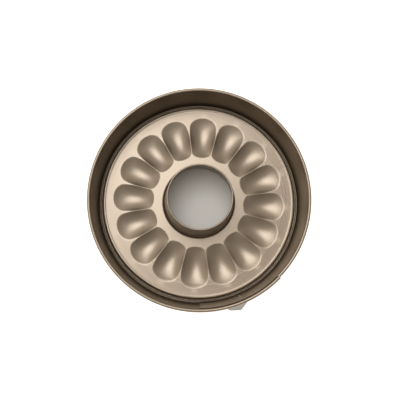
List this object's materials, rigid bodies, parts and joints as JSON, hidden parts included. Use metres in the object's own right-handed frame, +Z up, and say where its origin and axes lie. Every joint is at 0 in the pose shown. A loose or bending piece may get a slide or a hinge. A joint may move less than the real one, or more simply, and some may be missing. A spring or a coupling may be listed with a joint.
{
  "type": "springform tube pan",
  "caption": "Round baking pan with a split spring ring closed by an over-centre latch, a loose fluted base and a hollow centre tube.",
  "frame": {"origin": "on the pan's axis, in the plane that the ring stands on", "axes": "+Z up along the pan's axis, -Y towards the overlap of the ring and its latch, which sits 20 degrees from -Y towards +X"},
  "size_m": [0.2674, 0.2681, 0.0719],
  "materials": {
    "coated_steel": "champagne non-stick coating on steel sheet, satin",
    "bright_steel": "nickel-plated steel, bright"
  },
  "bodies": {
    "ring": {"spring_ring": "coated_steel", "latch_bracket": "bright_steel", "bracket_rivets": "bright_steel", "lever_pin": "bright_steel", "catch": "bright_steel", "catch_rivets": "bright_steel"},
    "lever": {"lever": "bright_steel"},
    "bail": {"bail": "bright_steel"},
    "base": {"base_plate": "coated_steel", "centre_tube": "coated_steel"}
  },
  "joints": [
    {"name": "lever_hinge", "type": "hinge", "parent": "ring", "child": "lever", "pos_m": [0.03704, -0.12954, 0.033], "axis": [0, 0, -1], "range_deg": [0, 150], "deforming": ["spring_ring"]},
    {"name": "bail_hinge", "type": "hinge", "parent": "lever", "child": "bail", "pos_m": [0.04531, -0.12653, 0.033], "axis": [0, 0, -1], "range_deg": [-135, 0]},
    {"name": "base_lift", "type": "slide", "parent": "ring", "child": "base", "axis": [0, 0, 1], "range_m": [0, 0.075], "deforming": ["spring_ring"]}
  ],
  "couplings": [
    {"joint": "bail_hinge", "follows": "lever_hinge", "ratio": -0.9}
  ]
}
